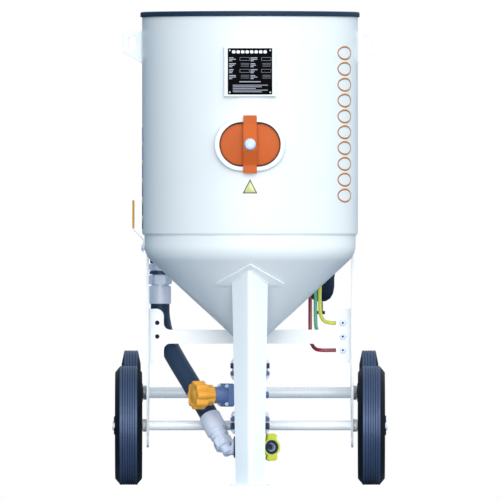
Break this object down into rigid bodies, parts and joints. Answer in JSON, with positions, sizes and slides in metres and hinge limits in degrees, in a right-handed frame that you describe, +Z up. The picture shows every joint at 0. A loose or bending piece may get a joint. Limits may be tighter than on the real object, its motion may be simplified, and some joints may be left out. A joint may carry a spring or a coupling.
{
  "type": "wheeled abrasive blast pot",
  "caption": "Wheeled pressure vessel that feeds abrasive into compressed air, with a hopper top, handway, cone, front leg, metering valve, choke valve and blast outlet.",
  "frame": {"origin": "middle of the footprint box, at the floor", "axes": "+Z up, -Y towards the handway and the front leg, +X to the right when facing the handway"},
  "size_m": [0.772, 0.896, 1.325],
  "materials": {
    "enamel": "gloss white enamel",
    "zinc_steel": "zinc plated",
    "black_rubber": "smooth rubber",
    "tyre_rubber": "solid rubber",
    "black_plastic": "moulded",
    "orange_enamel": "satin orange",
    "amber_plastic": "moulded amber",
    "slate_enamel": "satin slate blue",
    "black_iron": "blackened malleable iron",
    "lime_plastic": "moulded nylon",
    "plate_black": "anodised black with pale bars",
    "fibre_gasket": "compressed fibre",
    "yellow_tube": "extruded tube",
    "green_tube": "extruded tube",
    "red_tube": "extruded tube"
  },
  "bodies": {
    "root": {"air_valve_body": "slate_enamel", "ball_valve_body": "zinc_steel", "blast_coupling": "lime_plastic", "bottom_head": "enamel", "bulkhead_manifold": "zinc_steel", "control_panel": "enamel", "coupling_gasket": "black_rubber", "data_plate": "plate_black", "data_plate_bracket": "enamel", "exhaust_silencer": "black_plastic", "filter_bowl": "black_plastic", "filter_head": "slate_enamel", "front_leg": "enamel", "handway_cover": "orange_enamel", "handway_gasket": "black_rubber", "handway_ring": "enamel", "header_pipe": "zinc_steel", "inlet_pipe": "zinc_steel", "leg_pad": "enamel", "lifting_lug_left": "enamel", "lifting_lug_right": "enamel", "lower_elbow": "zinc_steel", "lower_gasket": "fibre_gasket", "lower_hose_fitting": "zinc_steel", "main_axle": "enamel", "metering_body": "slate_enamel", "metering_bonnet": "slate_enamel", "outlet_elbow": "black_iron", "outlet_pipe": "black_iron", "popup_pipe": "zinc_steel", "popup_seat": "black_rubber", "push_handle": "enamel", "pusher_hose": "black_rubber", "pusher_tee": "black_iron", "rear_axle": "enamel", "rim_trim": "black_rubber", "side_plate_left": "enamel", "side_plate_right": "enamel", "signal_tube_green": "green_tube", "signal_tube_red": "red_tube", "signal_tube_yellow": "yellow_tube", "top_head": "enamel", "upper_gasket": "fibre_gasket", "upper_hose_fitting": "zinc_steel", "vessel_shell": "enamel"},
    "crossbar": {"handway_crossbar": "orange_enamel"},
    "nut": {"handway_nut": "zinc_steel"},
    "popup": {"popup_valve": "black_rubber"},
    "metering_handwheel": {"metering_knob": "amber_plastic"},
    "metering_gate": {"metering_plunger": "zinc_steel"},
    "choke_handle": {"ball_valve_ball": "zinc_steel", "ball_valve_lever": "zinc_steel", "ball_valve_grip": "amber_plastic"},
    "main_wheel_left": {"main_tyre_left": "tyre_rubber", "main_hub_left": "black_plastic"},
    "main_wheel_right": {"main_tyre_right": "tyre_rubber", "main_hub_right": "black_plastic"},
    "tilt_wheel_left": {"rear_wheel_left": "tyre_rubber"},
    "tilt_wheel_right": {"rear_wheel_right": "tyre_rubber"},
    "drain_tap": {"filter_drain_tap": "black_plastic"}
  },
  "joints": [
    {"name": "crossbar_turn", "type": "hinge", "parent": "root", "child": "crossbar", "pos_m": [0, -0.404, 0.953], "axis": [0, -1, 0], "range_deg": [0, 90]},
    {"name": "nut_spin", "type": "hinge", "parent": "root", "child": "nut", "pos_m": [0, -0.436, 0.953], "axis": [0, -1, 0], "continuous": true},
    {"name": "popup_rise", "type": "slide", "parent": "root", "child": "popup", "axis": [0, 0, 1], "range_m": [0, 0.025]},
    {"name": "metering_knob_turn", "type": "hinge", "parent": "root", "child": "metering_handwheel", "pos_m": [0, -0.086, 0.2528], "axis": [-0.9135, -0.4068, 0], "range_deg": [0, 1080]},
    {"name": "metering_gate_slide", "type": "slide", "parent": "root", "child": "metering_gate", "axis": [-0.9135, -0.4068, 0], "range_m": [0, 0.024]},
    {"name": "choke_handle_turn", "type": "hinge", "parent": "root", "child": "choke_handle", "pos_m": [-0.2526, 0.174, 0.665], "axis": [-1, 0, 0], "range_deg": [0, 90]},
    {"name": "main_wheel_left_spin", "type": "hinge", "parent": "root", "child": "main_wheel_left", "pos_m": [-0.3405, 0.039, 0.1666], "axis": [1, 0, 0], "continuous": true},
    {"name": "main_wheel_right_spin", "type": "hinge", "parent": "root", "child": "main_wheel_right", "pos_m": [0.3405, 0.039, 0.1666], "axis": [1, 0, 0], "continuous": true},
    {"name": "tilt_wheel_left_spin", "type": "hinge", "parent": "root", "child": "tilt_wheel_left", "pos_m": [-0.335, 0.329, 0.2568], "axis": [1, 0, 0], "continuous": true},
    {"name": "tilt_wheel_right_spin", "type": "hinge", "parent": "root", "child": "tilt_wheel_right", "pos_m": [0.335, 0.329, 0.2568], "axis": [1, 0, 0], "continuous": true},
    {"name": "drain_tap_turn", "type": "hinge", "parent": "root", "child": "drain_tap", "pos_m": [0.199, 0.239, 0.49], "axis": [0, 0, 1], "range_deg": [0, 90]}
  ],
  "couplings": [
    {"joint": "metering_gate_slide", "follows": "metering_knob_turn", "m_per_rad": 0.0012732}
  ]
}
